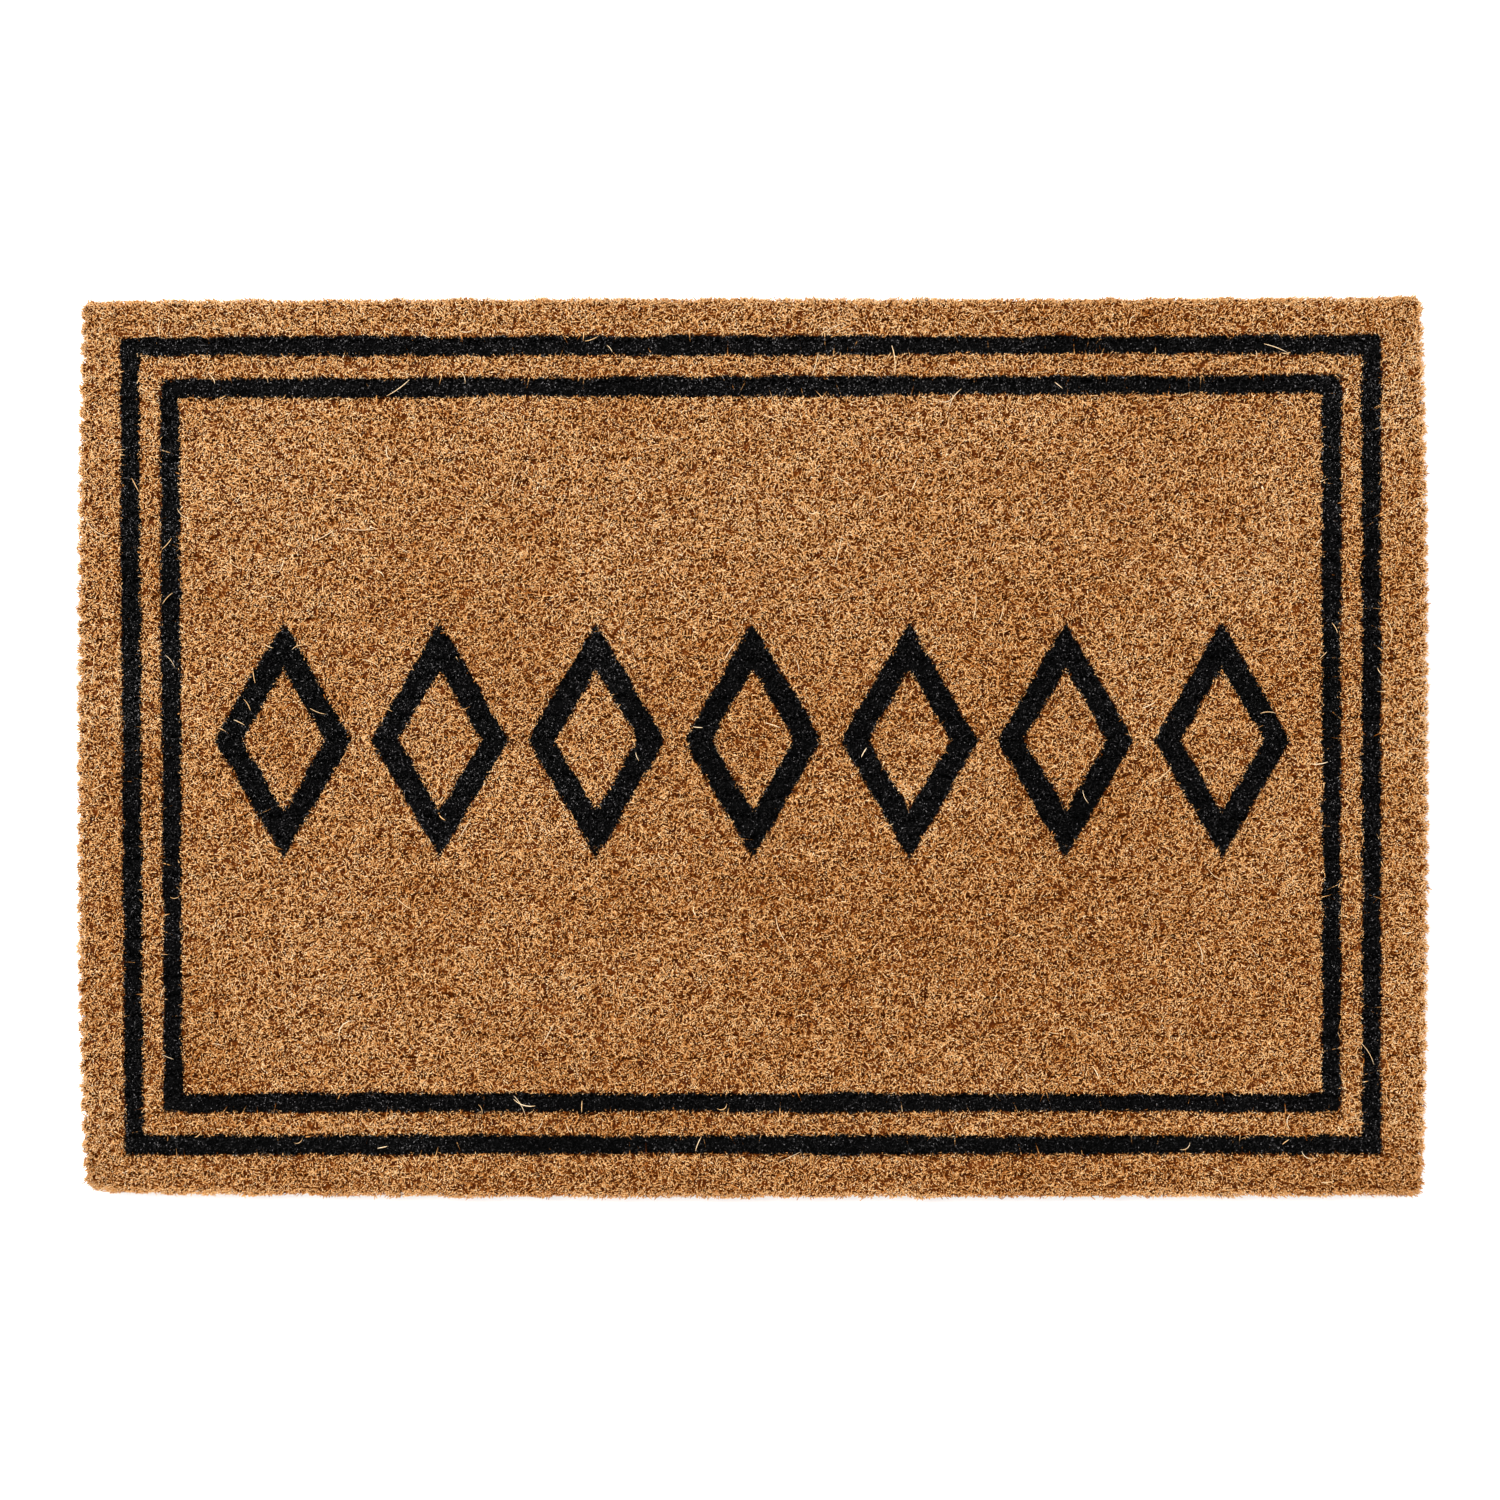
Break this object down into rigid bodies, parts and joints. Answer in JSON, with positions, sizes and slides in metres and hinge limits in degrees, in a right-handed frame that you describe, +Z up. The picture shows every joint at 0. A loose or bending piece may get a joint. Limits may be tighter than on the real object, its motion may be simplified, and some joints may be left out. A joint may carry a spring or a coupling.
{
  "type": "door mat",
  "caption": "Rectangular natural coir door mat with a vinyl backing and a black printed double border around a row of lozenges.",
  "frame": {"origin": "middle of the underside, on the floor", "axes": "+X along the long side, +Y towards the far long edge, +Z up through the pile"},
  "size_m": [0.6, 0.4, 0.0165],
  "materials": {
    "coir_pile": "natural coir fibre, cut pile, matte",
    "black_print": "coir fibre tips dyed black, matte",
    "vinyl": "matt vinyl sheet, fine embossed texture"
  },
  "bodies": {
    "root": {"vinyl_backing": "vinyl", "pile_row_01": "coir_pile", "pile_row_02": "coir_pile", "pile_row_03": "coir_pile", "pile_row_04": "coir_pile", "pile_row_05": "coir_pile", "pile_row_06": "coir_pile", "pile_row_07": "coir_pile", "pile_row_08": "coir_pile", "pile_row_09": "coir_pile", "pile_row_10": "coir_pile", "pile_row_11": "coir_pile", "pile_row_12": "coir_pile", "pile_row_13": "coir_pile", "pile_row_14": "coir_pile", "pile_row_15": "coir_pile", "pile_row_16": "coir_pile", "pile_row_17": "coir_pile", "pile_row_18": "coir_pile", "pile_row_19": "coir_pile", "pile_row_20": "coir_pile", "pile_row_21": "coir_pile", "pile_row_22": "coir_pile", "pile_row_23": "coir_pile", "pile_row_24": "coir_pile", "pile_row_25": "coir_pile", "pile_row_26": "coir_pile", "pile_row_27": "coir_pile", "pile_row_28": "coir_pile", "pile_row_29": "coir_pile", "pile_row_30": "coir_pile", "pile_row_31": "coir_pile", "pile_row_32": "coir_pile", "pile_row_33": "coir_pile", "pile_row_34": "coir_pile", "pile_row_35": "coir_pile", "pile_row_36": "coir_pile", "pile_row_37": "coir_pile", "pile_row_38": "coir_pile", "pile_row_39": "coir_pile", "pile_row_40": "coir_pile", "pile_row_41": "coir_pile", "pile_row_42": "coir_pile", "pile_row_43": "coir_pile", "pile_row_44": "coir_pile", "pile_row_45": "coir_pile", "print_outer_frame": "black_print", "print_inner_frame": "black_print", "print_lozenge_1": "black_print", "print_lozenge_2": "black_print", "print_lozenge_3": "black_print", "print_lozenge_4": "black_print", "print_lozenge_5": "black_print", "print_lozenge_6": "black_print", "print_lozenge_7": "black_print"}
  },
  "joints": []
}
